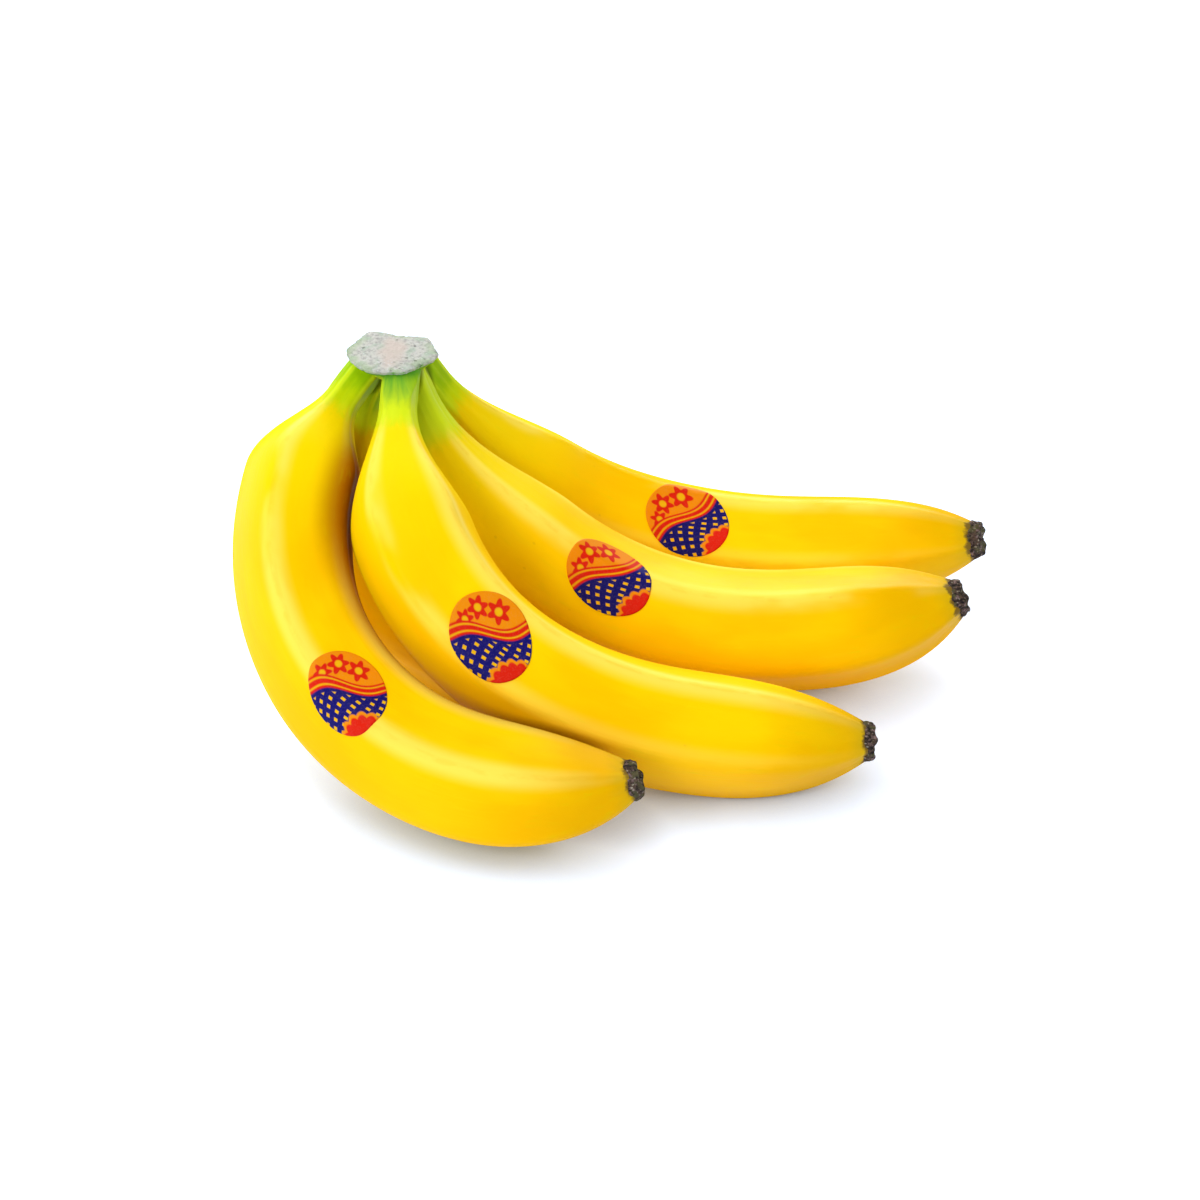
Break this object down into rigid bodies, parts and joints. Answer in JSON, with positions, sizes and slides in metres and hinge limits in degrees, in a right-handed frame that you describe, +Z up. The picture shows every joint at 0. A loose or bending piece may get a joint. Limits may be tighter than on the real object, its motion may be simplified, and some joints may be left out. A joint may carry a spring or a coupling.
{
  "type": "bunch of bananas",
  "caption": "Ripe yellow bananas joined at a cut green-grey crown, lying on their curved bellies with the crown raised and small oval labels on the outer fingers.",
  "frame": {"origin": "on the surface that the bunch lies on, under the middle of its bounding box", "axes": "+Z up; +X along the bunch, from the crown to the tips; -Y towards the front finger"},
  "size_m": [0.242, 0.1788, 0.1003],
  "materials": {
    "banana_skin": "smooth waxy yellow peel, green at the neck, satin",
    "crown_tissue": "dry corky cut plant tissue, matte",
    "dried_blossom": "dry dark brown fibrous, matte",
    "label_paper": "printed dark blue, orange and red, glossy"
  },
  "bodies": {
    "root": {"crown": "crown_tissue", "banana_1": "banana_skin", "banana_2": "banana_skin", "banana_3": "banana_skin", "banana_4": "banana_skin", "banana_5": "banana_skin", "blossom_end_1": "dried_blossom", "blossom_end_2": "dried_blossom", "blossom_end_3": "dried_blossom", "blossom_end_4": "dried_blossom", "blossom_end_5": "dried_blossom", "sticker_1": "label_paper", "sticker_2": "label_paper", "sticker_3": "label_paper", "sticker_4": "label_paper"}
  },
  "joints": []
}
